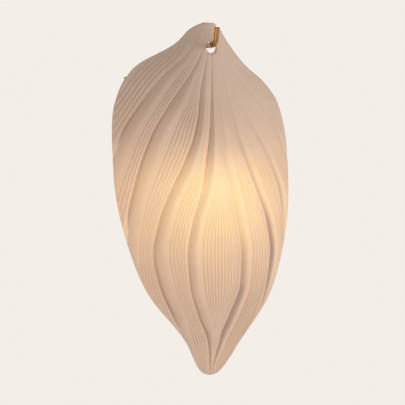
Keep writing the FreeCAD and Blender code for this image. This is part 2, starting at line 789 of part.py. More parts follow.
def ball_with_neck(radius, neck, flare, top):
    """A ball that runs into a straight neck through a hollow curve."""
    drop = math.sqrt((radius + flare) ** 2 - (neck + flare) ** 2)
    share = radius / (radius + flare)
    join = Vector((neck + flare) * share, 0, drop * share)
    foot = Vector(0, 0, -radius)
    side = Vector(radius, 0, 0)
    arc_low = Part.Arc(foot, Vector(radius * math.sqrt(0.5), 0, -radius * math.sqrt(0.5)), side).toShape()
    tilt = math.atan2(join.z, join.x) / 2
    arc_high = Part.Arc(side, Vector(radius * math.cos(tilt), 0, radius * math.sin(tilt)), join).toShape()
    neck_start = Vector(neck, 0, drop)
    hub = Vector(neck + flare, 0, drop)
    half = (join - hub).normalize() + Vector(-1, 0, 0)
    arc_neck = Part.Arc(join, hub + half.normalize() * flare, neck_start).toShape()
    neck_end = Vector(neck, 0, top)
    ends = Part.makePolygon([neck_start, neck_end, Vector(0, 0, top), foot])
    edges = [arc_low, arc_high, arc_neck] + ends.Edges
    solid = Part.Face(Part.Wire(edges)).revolve(Vector(0, 0, 0), Vector(0, 0, 1), 360)
    solid.Placement = Placement(spot(0, lamp_front, bulb_centre_height), Rotation())
    return solid


def make_bulb_glass():
    outer = ball_with_neck(bulb_radius, neck_radius, neck_flare, neck_height)
    inner = ball_with_neck(bulb_radius - glass_wall, neck_radius - glass_wall, neck_flare + glass_wall, neck_height + 1)
    return outer.cut(inner)


def make_bulb_cap():
    """The lamp's metal cap: a skirt round the glass neck and the threaded part above it."""
    skirt_top = cap_skirt_height
    top = cap_skirt_height + cap_thread_height
    inside = cap_radius - cap_wall
    profile = ((neck_radius, 0), (cap_skirt_radius, 0), (cap_skirt_radius, skirt_top - 0.9), (cap_radius, skirt_top),
               (cap_radius, top - 0.8), (cap_radius - 0.8, top), (inside - 0.8, top), (inside, top - 1.2),
               (inside, skirt_top), (neck_radius, skirt_top - 1.4))
    return lathe(profile, spot(0, lamp_front, glass_top - cap_overlap))


cap_top = glass_top - cap_overlap + cap_skirt_height + cap_thread_height


def make_cap_insulator():
    """Black glass between the cap and its centre contact."""
    rim = cap_radius - cap_wall - 0.8
    profile = ((0, 0), (rim, 0), (insulator_top_radius, insulator_height), (0, insulator_height))
    return lathe(profile, spot(0, lamp_front, cap_top))


def make_cap_contact():
    foot = cap_top + insulator_height
    height = bulb_tip - foot
    profile = ((0, 0), (tip_radius, 0), (tip_radius, height * 0.4), (tip_radius * 0.6, height), (0, height))
    return lathe(profile, spot(0, lamp_front, foot))


def make_bulb_stem():
    """Glass stem that stands in the neck and carries the light threads."""
    top = glass_top
    inside = neck_radius - glass_wall - screw_gap
    profile = ((0, 0), (inside, 0), (inside, -1.2), (stem_radius, -7.0), (stem_radius, -stem_length + 2.0),
               (stem_radius - 1.6, -stem_length), (0, -stem_length))
    return lathe(profile, spot(0, lamp_front, top))


def filament_places():
    angles = [2 * math.pi * (k + 0.5) / filament_count for k in range(filament_count)]
    return [(filament_circle * math.cos(a), lamp_front + filament_circle * math.sin(a)) for a in angles]


filament_top = bulb_centre_height + filament_length / 2
filament_foot = bulb_centre_height - filament_length / 2


def make_filaments():
    """Straight LED threads in a ring round the stem's foot."""
    return Part.makeCompound([cylinder(filament_radius, spot(x, front, filament_foot), spot(x, front, filament_top))
                              for x, front in filament_places()])


def make_filament_wires():
    """The wires that hold the threads: a mast under the stem with a spider at each end."""
    foot = filament_foot - wire_radius
    wires = cylinder(wire_radius, spot(0, lamp_front, glass_top - stem_length), spot(0, lamp_front, foot))
    for x, front in filament_places():
        for height in (filament_top + wire_radius, foot):
            inner = spot(0, lamp_front, height)
            outer = spot(x, front, height)
            wires = wires.fuse(cylinder(wire_radius, inner, outer + (outer - inner).normalize() * wire_radius))
    return wires.cut(make_bulb_stem())


# --- Wiring inside the canopy -------------------------------------------------------------------------------

def terminal_places():
    first = -(terminal_count - 1) * terminal_spacing / 2
    return [first + k * terminal_spacing for k in range(terminal_count)]


wire_front = bracket_sheet + block_wire_depth
block_front = bracket_sheet + block_depth
block_top = block_z + block_height / 2
block_foot = block_z - block_height / 2
block_screw_floor = bracket_sheet + block_depth / 2


def make_terminal_block():
    """Moulded block on the bracket with a row of terminals, open above and below."""
    block = slab(block_width, block_height, bracket_sheet, block_front, block_z)
    cuts = []
    for x in terminal_places():
        for side, edge in ((1, block_top), (-1, block_foot)):
            cuts.append(cylinder(lead_radius + screw_gap, spot(x, wire_front, edge + side),
                                 spot(x, wire_front, edge - side * lead_plunge)))
            screw_z = block_z + side * terminal_screw_rise
            cuts.append(cylinder(terminal_screw_radius, spot(x, wire_front, screw_z), spot(x, block_front + 1, screw_z)))
    for x in block_screw_places():
        cuts.append(cylinder(block_screw_radius, spot(x, 0, block_z), spot(x, block_front + 1, block_z)))
        cuts.append(cylinder(block_screw_head_radius + screw_gap, spot(x, block_screw_floor, block_z),
                             spot(x, block_front + 1, block_z)))
    for cut in cuts:
        block = block.cut(cut)
    return block


def block_screw_places():
    """Between the terminals."""
    places = terminal_places()
    return [(a + b) / 2 for a, b in zip(places, places[1:])]


def slotted_screw(radius, length, head_radius, head_height, seat):
    """A screw that faces the room, with a slot in its head."""
    profile = ((0, -length), (radius, -length), (radius, 0), (head_radius, 0),
               (head_radius, head_height * 0.7), (head_radius * 0.8, head_height), (0, head_height))
    screw = lathe(profile, seat, Vector(0, -1, 0))
    width = head_radius * 0.28
    slot = Part.makeBox(2 * head_radius, head_height, width,
                        seat + Vector(-head_radius, -head_height * 1.5, -width / 2))
    return screw.cut(slot)


def make_terminal_screws():
    screws = []
    sunk = block_front - terminal_screw_sink
    length = sunk - (wire_front + lead_radius + screw_gap)
    for x in terminal_places():
        for side in (-1, 1):
            seat = spot(x, sunk, block_z + side * terminal_screw_rise)
            screws.append(slotted_screw(terminal_screw_radius, length, terminal_screw_radius, 0.9, seat))
    return Part.makeCompound(screws)


def make_block_screws():
    length = block_screw_floor - screw_gap
    return Part.makeCompound([slotted_screw(block_screw_radius, length, block_screw_head_radius, 1.6,
                                            spot(x, block_screw_floor, block_z)) for x in block_screw_places()])


def lamp_lead(side, terminal_x):
    """A lead from the lampholder, through the arm, to its terminal."""
    x = side * lead_spread
    points = [spot(x, lamp_front, insert_top - lead_plunge + screw_gap), spot(x, lamp_front, arm_height),
              spot(x, wire_front, arm_height), spot(terminal_x, wire_front, block_top + lead_straight),
              spot(terminal_x, wire_front, block_top - lead_plunge + screw_gap)]
    return rod_along(rounded_path(points, (arm_bend, lead_bend, 2 * lead_bend)), lead_radius)


def make_live_lead():
    return lamp_lead(-1, terminal_places()[0])


def make_neutral_lead():
    return lamp_lead(1, terminal_places()[1])


lug_front = bracket_sheet + lug_barrel_radius + 0.1
lug_top = earth_z + earth_lug_radius - 0.6


def make_earth_lead():
    """From the last terminal to the lug under the earth screw."""
    x = terminal_places()[-1]
    points = [spot(x, wire_front, block_top - lead_plunge + screw_gap), spot(x, wire_front, block_top + lead_straight),
              spot((x + earth_x) / 2, wire_front, block_top + lead_straight),
              spot(earth_x, lug_front, lug_top + lug_barrel_length + lead_straight),
              spot(earth_x, lug_front, lug_top + 0.8)]
    return rod_along(rounded_path(points, (lead_bend, lead_bend, lead_bend)), lead_radius)


def make_earth_lug():
    """Ring lug with the barrel that is crimped on the lead."""
    ring = pipe(earth_lug_radius, earth_screw_radius, spot(earth_x, bracket_sheet, earth_z),
                spot(earth_x, bracket_sheet + earth_lug_sheet, earth_z))
    barrel = cylinder(lug_barrel_radius, spot(earth_x, lug_front, lug_top),
                      spot(earth_x, lug_front, lug_top + lug_barrel_length))
    tongue = Part.makeBox(2 * lead_radius, earth_lug_sheet, 2.4, spot(earth_x - lead_radius,
                          bracket_sheet + earth_lug_sheet, lug_top - 0.6))
    bore = cylinder(lead_radius, spot(earth_x, lug_front, lug_top + 0.8),
                    spot(earth_x, lug_front, lug_top + lug_barrel_length + 1))
    return ring.fuse(tongue).fuse(barrel).cut(bore).removeSplitter()


def make_earth_screw():
    seat = spot(earth_x, bracket_sheet + earth_lug_sheet, earth_z)
    return slotted_screw(earth_screw_radius, bracket_sheet + earth_lug_sheet - screw_gap, earth_head_radius,
                         earth_head_height, seat)


# --- All pieces ----------------------------------------------------------------------------------------------

pieces = {
    "shell_shade": make_shell,
    "hook_sleeve": make_hook_sleeve,
    "hook_arm": lambda: rod_along(hook_path(), rod_radius),
    "hook_rosette": make_hook_rosette,
    "hook_washer": make_hook_washer,
    "hook_nut": make_hook_nut,
    "canopy_cover": make_canopy,
    "canopy_screws": make_canopy_screws,
    "mounting_bracket": make_bracket,
    "cable_grommet": make_grommet,
    "lamp_arm": make_lamp_arm,
    "arm_rosette": make_arm_rosette,
    "arm_washer": make_arm_washer,
    "arm_nut": make_arm_nut,
    "holder_cup": make_holder_cup,
    "cup_nut": make_cup_nut,
    "holder_body": make_holder_body,
    "holder_insert": make_holder_insert,
    "contact_shell": make_contact_shell,
    "centre_contact": make_centre_contact,
    "bulb_glass": make_bulb_glass,
    "bulb_cap": make_bulb_cap,
    "cap_insulator": make_cap_insulator,
    "cap_contact": make_cap_contact,
    "bulb_stem": make_bulb_stem,
    "bulb_filaments": make_filaments,
    "filament_wires": make_filament_wires,
    "terminal_block": make_terminal_block,
    "terminal_screws": make_terminal_screws,
    "block_screws": make_block_screws,
    "live_lead": make_live_lead,
    "neutral_lead": make_neutral_lead,
    "earth_lead": make_earth_lead,
    "earth_lug": make_earth_lug,
    "earth_screw": make_earth_screw,
}

if __name__ == "__main__":
    os.makedirs("parts", exist_ok=True)
    for name, make in pieces.items():
        shape = make()
        if not shape.isValid() or not shape.Solids:
            print("not sound:", name)
        box = shape.BoundBox
        print(f"{name:18s} solids {len(shape.Solids)} volume {shape.Volume:9.1f} "
              f"x {box.XMin:7.1f} {box.XMax:7.1f} front {-box.YMax:6.1f} {-box.YMin:6.1f} "
              f"z {box.ZMin:7.1f} {box.ZMax:7.1f}")
        shape.exportStep(f"parts/{name}.step")
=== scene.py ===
# %% [markdown]
# # A shell wall sconce
#
# The real lamp is a brass canopy, a bent tube with a small lampholder and a round bulb, and a
# brass hook. A pleated, ribbed shell of cast resin hangs on the hook in front of the lamp.
# The metal parts come from the frame at their real size. Here they get their finishes, and
# the shell is modelled anew with all its ribs.

# %% Load the frame
import bmesh
import bpy
import json
import math
import numpy as np
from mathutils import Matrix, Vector
from types import SimpleNamespace


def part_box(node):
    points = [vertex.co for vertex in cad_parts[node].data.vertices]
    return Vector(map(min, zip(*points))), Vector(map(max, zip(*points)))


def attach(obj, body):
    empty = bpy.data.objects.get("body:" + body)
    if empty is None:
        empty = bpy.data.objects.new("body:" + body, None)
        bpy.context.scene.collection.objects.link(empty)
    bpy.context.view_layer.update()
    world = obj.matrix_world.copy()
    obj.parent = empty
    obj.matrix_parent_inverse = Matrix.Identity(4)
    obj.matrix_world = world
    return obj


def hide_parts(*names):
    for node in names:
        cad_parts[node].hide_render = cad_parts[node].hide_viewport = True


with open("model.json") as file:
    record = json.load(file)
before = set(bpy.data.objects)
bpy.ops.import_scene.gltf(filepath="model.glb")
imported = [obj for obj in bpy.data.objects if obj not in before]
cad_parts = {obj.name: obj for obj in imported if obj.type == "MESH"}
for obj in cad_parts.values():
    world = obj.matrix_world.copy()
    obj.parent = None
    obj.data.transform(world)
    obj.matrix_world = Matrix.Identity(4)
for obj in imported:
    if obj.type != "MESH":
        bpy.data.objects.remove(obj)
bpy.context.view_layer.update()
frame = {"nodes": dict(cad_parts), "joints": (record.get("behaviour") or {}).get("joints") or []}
MM = 0.001

# %% [markdown]
# ## Camera
#
# The photograph was taken level with the lamp and from about 30 degrees to its left. The
# lens is long, because the shell shows almost no perspective. A camera is three facts: a
# point to look at, a direction to stand in and a distance. The lens then follows from how
# much of the lamp the picture has to take in.

# %% Camera
view_from_left = math.radians(30.0)
view_distance = 1.9
view_width = 465.5 * MM            # what the picture's width takes in at the shell
look_at = Vector((0.6 * MM, -110.0 * MM, -101.8 * MM))
sensor_width = 36.0

away = Vector((-math.sin(view_from_left), -math.cos(view_from_left), 0.0))
camera = bpy.data.objects.new("camera", bpy.data.cameras.new("camera"))
bpy.context.scene.collection.objects.link(camera)
camera.location = look_at + away * view_distance
camera.rotation_euler = (-away).to_track_quat("-Z", "Y").to_euler()
camera.data.sensor_width = sensor_width
camera.data.lens = sensor_width * view_distance / view_width
bpy.context.scene.camera = camera
print("lens, mm:", round(camera.data.lens, 1))

# %% [markdown]
# ## Helpers for finishes
#
# A finish is a small graph of nodes. Nearly every one needs a cloudy noise, a ramp that turns
# it into colours or greys, and a tiny relief, so each of those gets a helper of its own. The
# noise is laid out by the place on the piece, so nothing has to be unwrapped.

# %% Helpers for finishes
def linear(red, green, blue):
    """A colour as a picture shows it (0 to 255) turned into the light that makes it."""
    def one(value):
        share = value / 255.0
        return share / 12.92 if share <= 0.04045 else ((share + 0.055) / 1.055) ** 2.4
    return (one(red), one(green), one(blue), 1.0)


def start_finish(name):
    """A new material with its shader, its tree and the place on the piece in metres."""
    finish = bpy.data.materials.new(name)
    finish.use_nodes = True
    tree = finish.node_tree
    shader = tree.nodes["Principled BSDF"]
    place = tree.nodes.new("ShaderNodeTexCoord").outputs["Object"]
    return finish, tree, shader, place


def noise(tree, place, scale, detail=3.0, stretch=(1.0, 1.0, 1.0)):
    """Cloudy noise; a stretch below 1 draws it out along that axis."""
    mapping = tree.nodes.new("ShaderNodeMapping")
    mapping.inputs["Scale"].default_value = stretch
    tree.links.new(place, mapping.inputs["Vector"])
    cloud = tree.nodes.new("ShaderNodeTexNoise")
    cloud.inputs["Scale"].default_value = scale
    cloud.inputs["Detail"].default_value = detail
    tree.links.new(mapping.outputs["Vector"], cloud.inputs["Vector"])
    return cloud.outputs["Fac"]


def ramp(tree, value, stops):
    """Colours or greys at places along a value from 0 to 1."""
    made = tree.nodes.new("ShaderNodeValToRGB")
    band = made.color_ramp
    while len(band.elements) < len(stops):
        band.elements.new(0.5)
    for element, (position, colour) in zip(band.elements, stops):
        element.position = position
        element.color = colour if hasattr(colour, "__len__") else (colour, colour, colour, 1.0)
    tree.links.new(value, made.inputs["Fac"])
    return made.outputs["Color"]


def spread(tree, cloud, low, high):
    """Two colours or greys, spread over the middle of a noise, where nearly all of it lies."""
    return ramp(tree, cloud, [(0.3, low), (0.7, high)])


def bump(tree, shader, value, depth):
    """Tiny relief, with its depth in metres."""
    made = tree.nodes.new("ShaderNodeBump")
    made.inputs["Distance"].default_value = depth
    tree.links.new(value, made.inputs["Height"])
    tree.links.new(made.outputs["Normal"], shader.inputs["Normal"])


print("a mid grey of a picture, as light:", round(linear(128, 128, 128)[0], 3))

# %% [markdown]
# ## Floor
#
# The lamp is shown by itself over a plain, pale floor. A wide disc is enough, since its far
# edge passes for a horizon. Little light falls on it and it would look brown, so it also
# glows faintly in its own colour. That is simpler than one more lamp for the floor alone.

# %% Floor
floor_height = -1.15
floor_radius = 4.5
floor_corners = 96
floor_dullness = 0.9
floor_glow = 0.35

floor = bpy.data.objects.new("floor", bpy.data.meshes.new("floor"))
floor_turns = [2 * math.pi * k / floor_corners for k in range(floor_corners)]
floor.data.from_pydata([(floor_radius * math.cos(turn), floor_radius * math.sin(turn), floor_height)
                        for turn in floor_turns], [], [tuple(range(floor_corners))])
bpy.context.scene.collection.objects.link(floor)

floor_finish, floor_tree, floor_shader, floor_place = start_finish("pale floor")
floor_grain = noise(floor_tree, floor_place, scale=2.0)
floor_colour = spread(floor_tree, floor_grain, linear(236, 231, 225), linear(242, 238, 233))
floor_tree.links.new(floor_colour, floor_shader.inputs["Base Color"])
floor_shader.inputs["Roughness"].default_value = floor_dullness
floor_tree.links.new(floor_colour, floor_shader.inputs["Emission Color"])
floor_shader.inputs["Emission Strength"].default_value = floor_glow
floor.data.materials.append(floor_finish)
print("floor below the lamp, m:", -floor_height)

# %% [markdown]
# ## Backdrop
#
# A studio has a pale backdrop and a dimmer, warm room around it. One world does both: where a
# ray comes straight from the camera, or by way of a mirror or glass, it shows the backdrop,
# and all other rays see the room's light. That is simpler than building a room.

# %% Backdrop
room_colour = (1.0, 0.94, 0.87, 1.0)
room_light = 0.43
backdrop_light = 1.0               # at 1 the backdrop is as bright as its colour says

world = bpy.data.worlds.new("soft room")
world.use_nodes = True
bpy.context.scene.world = world
world_tree = world.node_tree
world_light = world_tree.nodes["Background"]
world_light.inputs["Color"].default_value = room_colour
world_light.inputs["Strength"].default_value = room_light
backdrop = world_tree.nodes.new("ShaderNodeBackground")
backdrop.inputs["Color"].default_value = linear(243, 238, 232)
backdrop.inputs["Strength"].default_value = backdrop_light
rays = world_tree.nodes.new("ShaderNodeLightPath")
seen = rays.outputs["Is Camera Ray"]
for kind in ("Is Glossy Ray", "Is Transmission Ray"):
    either = world_tree.nodes.new("ShaderNodeMath")
    either.operation = "MAXIMUM"
    world_tree.links.new(seen, either.inputs[0])
    world_tree.links.new(rays.outputs[kind], either.inputs[1])
    seen = either.outputs["Value"]
choice = world_tree.nodes.new("ShaderNodeMixShader")
world_tree.links.new(seen, choice.inputs["Fac"])
world_tree.links.new(world_light.outputs["Background"], choice.inputs[1])
world_tree.links.new(backdrop.outputs["Background"], choice.inputs[2])
world_tree.links.new(choice.outputs["Shader"], world_tree.nodes["World Output"].inputs["Surface"])
print("nodes of the world:", len(world_tree.nodes))

# %% [markdown]
# ## Studio lamps
#
# A ribbed surface only shows its ribs when light grazes it. A fairly small lamp on the right
# and a little above does that. A large, weak one on the left keeps the shaded flanks
# readable, and one behind lights the back for views from there. Square area lamps give soft
# edges to all shadows, which point lamps or a sun would not.

# %% Lamps
def soft_lamp(name, place, size, watts, colour):
    """A square area lamp that faces the middle of the shell."""
    lamp = bpy.data.objects.new(name, bpy.data.lights.new(name, "AREA"))
    lamp.data.size = size
    lamp.data.energy = watts
    lamp.data.color = colour
    lamp.location = place
    lamp.rotation_euler = (look_at - Vector(place)).to_track_quat("-Z", "Y").to_euler()
    bpy.context.scene.collection.objects.link(lamp)
    print(name, "stands off by, m:", round((look_at - Vector(place)).length, 2))


warm_white = (1.0, 0.95, 0.88)
soft_white = (1.0, 0.97, 0.94)
soft_lamp("key lamp", (1.6, -1.35, 0.5), size=0.6, watts=14.0, colour=warm_white)
soft_lamp("fill lamp", (-1.9, -1.3, -0.1), size=1.6, watts=5.0, colour=soft_white)
soft_lamp("back lamp", (0.9, 2.0, 1.2), size=1.4, watts=22.0, colour=soft_white)

# %% [markdown]
# ## Shell: size and hole
#
# The shell is one sheet of resin, cast in a mould, and it hangs by a hole near its top edge.
# Its size and the hole's place come from the frame, so that the finely modelled shell sits
# on the hook just as the plain one does.

# %% Shell sizes
shell_low, shell_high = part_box("shell_shade")
shell_top = shell_high.z
shell_height = shell_high.z - shell_low.z
shell_half_width = (shell_high.x - shell_low.x) / 2
shell_wall = 4.6 * MM
rim_round = shell_wall / 2

tilt_joint = next(joint for joint in frame["joints"] if joint["name"] == "shell_tilt")
hole_radius = 6.4 * MM
hole_lip = shell_wall / 2
hole_height = tilt_joint["pos_m"][2] - hole_radius - hole_lip
hole_front = -tilt_joint["pos_m"][1]
print("hole, mm:", round(hole_front / MM, 2), round(hole_height / MM, 2))

# %% [markdown]
# ## Shell: the main curves
#
# From the front the shell is a petal, and its middle stands forward of its edges. Sculpting
# that by hand would be slow and uneven. A height map is better: one function says how far
# forward the face is at any place of the front view. Three curves carry it, each given at a
# few levels, and the helper below joins such levels softly and never overshoots.

# %% Curves of the form
# Each row: a share of the height, from the top edge down, and a value
outline_shares = ((0.000, 0.063), (0.018, 0.175), (0.046, 0.262), (0.075, 0.385),   # of half the width
                  (0.103, 0.550), (0.152, 0.775), (0.218, 0.925), (0.346, 1.000),
                  (0.503, 0.983), (0.647, 0.870), (0.789, 0.645), (0.903, 0.310),
                  (0.950, 0.207), (0.975, 0.149), (0.989, 0.102), (0.997, 0.056), (1.000, 0.000))
ridge_levels = ((0.00, -4.0), (0.07, 0.0), (0.22, 7.0), (0.36, 13.0),               # mm, in front of the hole
                (0.60, 15.5), (0.80, 14.0), (0.90, 9.5), (1.00, -1.0))
curve_levels = ((0.00, 0.0270), (0.07, 0.0132), (0.11, 0.0088), (0.16, 0.0045),     # per mm, to the sides
                (0.22, 0.0030), (0.36, 0.0025), (0.60, 0.0022), (1.00, 0.0024))


def smooth(levels, share):
    """A soft curve through (share, value) pairs, level past both ends."""
    at = np.array([level[0] for level in levels])
    value = np.array([level[1] for level in levels])
    run = np.diff(at)
    rise = np.diff(value) / run
    slope = np.zeros(len(at))
    same_way = rise[:-1] * rise[1:] > 0
    both = np.where(same_way, rise[:-1] + rise[1:], 1.0)
    slope[1:-1] = np.where(same_way, 2 * rise[:-1] * rise[1:] / both, 0.0)
    share = np.clip(share, at[0], at[-1])
    here = np.clip(np.searchsorted(at, share, side="right") - 1, 0, len(run) - 1)
    t = (share - at[here]) / run[here]
    return ((2 * t**3 - 3 * t**2 + 1) * value[here] + (t**3 - 2 * t**2 + t) * run[here] * slope[here]
            + (3 * t**2 - 2 * t**3) * value[here + 1] + (t**3 - t**2) * run[here] * slope[here + 1])


print("bulge halfway down, mm:", round(float(smooth(ridge_levels, 0.5)), 2))

# %% [markdown]
# ## Shell: the courses of the folds
#
# Eight folds fan out from the hanging hole, swing wide and meet again at the tip. Each is
# given by its distance from the middle at a few levels. Curves drawn by hand would do as
# well, but distances are easy to change one by one. The two sides are not quite alike, as in
# nature, so each side has its own rows.

# %% Courses of the folds
# Each row: a share of the height, then how far folds 1 to 4 are from the middle, in mm
left_folds = (
    (0.00, 0.8, 2.5, 5.0, 9.0), (0.05, 1.0, 4.0, 8.5, 17.0), (0.10, 1.3, 7.2, 14.5, 31.0),
    (0.15, 2.0, 11.8, 26.9, 54.0), (0.20, 3.0, 15.5, 41.5, 72.0), (0.26, 5.0, 19.0, 58.0, 89.0),
    (0.32, 7.3, 25.0, 72.0, 104.0), (0.40, 12.5, 38.0, 84.5, 117.0), (0.48, 18.5, 54.0, 93.5, 126.0),
    (0.56, 29.0, 66.6, 101.0, 132.0), (0.65, 35.0, 73.3, 104.0, 136.0), (0.74, 32.0, 66.4, 100.0, 132.0),
    (0.82, 22.5, 53.0, 86.0, 118.0), (0.90, 7.8, 38.0, 66.0, 94.0), (1.00, 1.0, 14.0, 28.0, 42.0))
right_folds = (
    (0.00, 1.0, 3.0, 6.0, 9.0), (0.05, 2.5, 6.5, 10.0, 16.0), (0.10, 4.4, 10.0, 13.5, 23.0),
    (0.15, 4.5, 13.4, 17.5, 38.3), (0.20, 4.4, 17.3, 27.0, 59.0), (0.26, 5.1, 21.2, 41.2, 84.4),
    (0.32, 6.3, 28.0, 59.5, 102.0), (0.40, 12.0, 43.0, 81.5, 116.0), (0.48, 20.5, 58.5, 97.0, 126.0),
    (0.56, 28.0, 73.4, 102.5, 132.0), (0.65, 35.2, 80.6, 104.0, 136.0), (0.74, 33.5, 73.9, 100.0, 132.0),
    (0.82, 20.0, 61.0, 88.0, 118.0), (0.90, 6.5, 39.0, 66.0, 94.0), (1.00, 1.0, 14.0, 28.0, 42.0))
folds_a_side = 4


def one_side(rows, share):
    """Distance of one side's folds from the middle, a row of numbers for each fold."""
    return np.array([smooth([(row[0], row[number]) for row in rows], share)
                     for number in range(1, folds_a_side + 1)])


def fold_lines(share):
    """Distance of every fold from the middle, left and right, for an array of levels."""
    return one_side(left_folds, share), one_side(right_folds, share)


print("left folds halfway down, mm:", fold_lines(np.array([0.5]))[0][:, 0].round(1))

# %% [markdown]
# ## Shell: the panels
#
# The folds part the fan into panels. Each fold has a steep flank and a broader one: high up
# the broader one is nearer the middle, lower down it is the right one. A smooth ridge runs
# along the right of every fold, and the ribs begin beyond it. Before any height is worked
# out, this step looks up for every place which panel it is in and how near its folds are. It
# does so for a whole row of places at once, because a loop over single points would be slow.

# %% Panels between the folds
left_fold_depths = (4.2, 5.0, 5.8, 5.8)      # mm, of fold 1 to 4
right_fold_depths = (3.2, 3.4, 2.4, 1.8)
right_fold_shares = ((0.12, 0.18), (0.36, 0.38), (0.62, 0.95))   # right folds are shallow near the top
fold_margin = 0.005                          # mm, a point on a fold belongs to the panel on its left
steep_flank = 4.0                            # mm, across a fold
left_fold_inner = ((0.35, 9.2), (0.52, 4.8))         # mm, the flank right of a left fold
right_fold_inner = ((0.38, 8.4), (0.55, 4.0))        # mm, left and right of a right fold
right_fold_outer = ((0.38, 3.2), (0.55, 4.4))
ridge_breadth = 7.5                          # mm, the smooth ridge right of a fold
flank_share = 0.3                            # the flank at a panel's right takes no more of it
ridge_share = 0.5                            # nor do the flank at its left and the ridge
tip_narrows = ((0.82, 1.0), (0.96, 0.45))    # both draw in near the tip, and ribs go on to the rim
open_side = 90.0                             # mm, stands for the breadth past the last fold
middle_ribs = 12
left_ribs = (6, 6, 4)                        # between folds 1 and 2, 2 and 3, 3 and 4
right_ribs = (7, 6, 4)


def panel_at(x, share):
    """For each place: how far the folds on both sides are, how deep and wide they are, and the ribs."""
    left, right = fold_lines(share)
    column = np.arange(len(x))
    level = np.ones(len(x))
    lines = np.concatenate([-left[::-1], right])              # from left to right, in mm
    shallow_right = smooth(right_fold_shares, share)
    depths = np.array([level * depth for depth in left_fold_depths[::-1]]
                      + [shallow_right * depth for depth in right_fold_depths])
    ribs = np.array(left_ribs[::-1] + (middle_ribs,) + right_ribs)
    left_flanks = np.array([level * steep_flank] * folds_a_side
                           + [smooth(right_fold_inner, share)] * folds_a_side)
    right_flanks = np.array([smooth(left_fold_inner, share)] * folds_a_side
                            + [smooth(right_fold_outer, share)] * folds_a_side)

    panel = (x[None, :] > lines + fold_margin).sum(axis=0)    # 0 is left of all folds
    rightmost = len(lines)
    inside = (panel > 0) & (panel < rightmost)
    before, after = np.maximum(panel - 1, 0), np.minimum(panel, rightmost - 1)
    from_left = np.where(panel > 0, x - lines[before, column], np.inf)
    from_right = np.where(panel < rightmost, lines[after, column] - x, np.inf)
    width = np.minimum(from_left + from_right, open_side)

    first = right_flanks[before, column]
    narrows = smooth(tip_narrows, share)
    room = np.where(inside, np.minimum(1.0, ridge_share * width / (first + ridge_breadth)), 1.0)
    last = np.where(inside, np.minimum(left_flanks[after, column], flank_share * width), steep_flank)
    return SimpleNamespace(
        inside=inside, width=width, from_left=from_left, from_right=from_right,
        depth_left=np.where(panel > 0, depths[before, column], 0.0),
        depth_right=np.where(panel < rightmost, depths[after, column], 0.0),
        first=first * room * narrows, last=last * narrows,
        ridge=np.where(inside, ridge_breadth * room * narrows, 0.0),
        ribs=np.where(inside, ribs[np.clip(panel - 1, 0, len(ribs) - 1)], 0))


print("ribs between the folds:", sum(left_ribs) + middle_ribs + sum(right_ribs))

# %% [markdown]
# ## Shell: how far the folds fall
#
# A fold is a groove with two flanks. Beside it the sheet rises in a ridge, and the middle of a
# panel stands a little proud, like a pillow. All of it calms down near the hole, the tip and
# the rim, so that the edge runs in one even line.

# %% Folds and ridges
fold_settles = 0.32                          # folds reach their full depth at this share
settle_power = 1.4                           # above 1 they start gently
tip_calms = 0.10                             # they die away over this share before the tip
tip_end = 1.02                               # and would end at this one
rim_calms = 20.0                             # mm from the rim, over which a fold dies away
narrow_rim = 0.5                             # or over this share of a narrow half width
crown_calms = 20.0                           # mm past the last fold, over which the rise dies away
narrow_panel = 22.0                          # mm, folds are shallower where a panel is narrower
flank_power = 1.7                            # above 1 a flank is steepest at its fold
ridge_rise = 1.3                             # mm, how far a ridge stands up
ridge_begins = 0.4                           # as a share of the flank
crown_height = 1.6                           # mm, how far a panel's middle stands proud
quiet_right = 0.2                            # what is left of ridge and crown high on the right


def calm_at(x, share, panel):
    """How much of the folds is there: 1 in the open, less near the rim and at both ends."""
    rim = smooth(outline_shares, share) * shell_half_width / MM
    settled = (np.clip(share / fold_settles, 0.0, 1.0) ** settle_power
               * np.clip((tip_end - share) / tip_calms, 0.0, 1.0))
    near_rim = np.clip((rim - np.abs(x)) / np.minimum(rim_calms, narrow_rim * rim + 1.0), 0.0, 1.0)
    calm = settled * near_rim * near_rim * (3 - 2 * near_rim)
    return calm * np.where(panel.inside, np.minimum(1.0, panel.width / narrow_panel), 1.0)


def fold_fall(x, share, panel):
    """How far folds lower the sheet, in mm; ridges and crowns count against it."""
    fall = np.clip(1 - panel.from_left / panel.first, 0, 1) ** flank_power * panel.depth_left
    fall += np.clip(1 - panel.from_right / panel.last, 0, 1) ** flank_power * panel.depth_right
    along = np.where(panel.inside, panel.from_left, 0.0)
    crest = np.clip((along - ridge_begins * panel.first) / ((1 - ridge_begins) * panel.first + panel.ridge),
                    0.0, 1.0)
    right_side = quiet_right + (1 - quiet_right) * smooth(right_fold_shares, share)
    lively = np.where(x > 0, right_side, 1.0) * panel.inside
    fall -= lively * ridge_rise * np.sin(np.pi * crest) ** 2
    across = along / panel.width
    beside = np.clip(1 - np.minimum(panel.from_left, panel.from_right) / crown_calms, 0.0, 1.0)
    return fall + np.where(panel.inside, lively * (1 - 4 * across * (1 - across)), beside ** 2) * crown_height


across_shell = np.linspace(-shell_half_width, shell_half_width, 401) / MM
halfway = np.full(len(across_shell), 0.5)
fall_halfway = fold_fall(across_shell, halfway, panel_at(across_shell, halfway))
print("deepest fold halfway down, mm:", round(float(fall_halfway.max()), 2))
print("highest ridge halfway down, mm:", round(float(-fall_halfway.min()), 2))

# %% [markdown]
# ## Shell: ribs and the height map
#
# The ribs fill the rest of a panel. Each is round, with a narrow groove on either side, and it
# fades where the fan draws the ribs together, since a mould can't hold finer ones. A row of
# raised cosines has that profile. With the ribs the height map is complete.

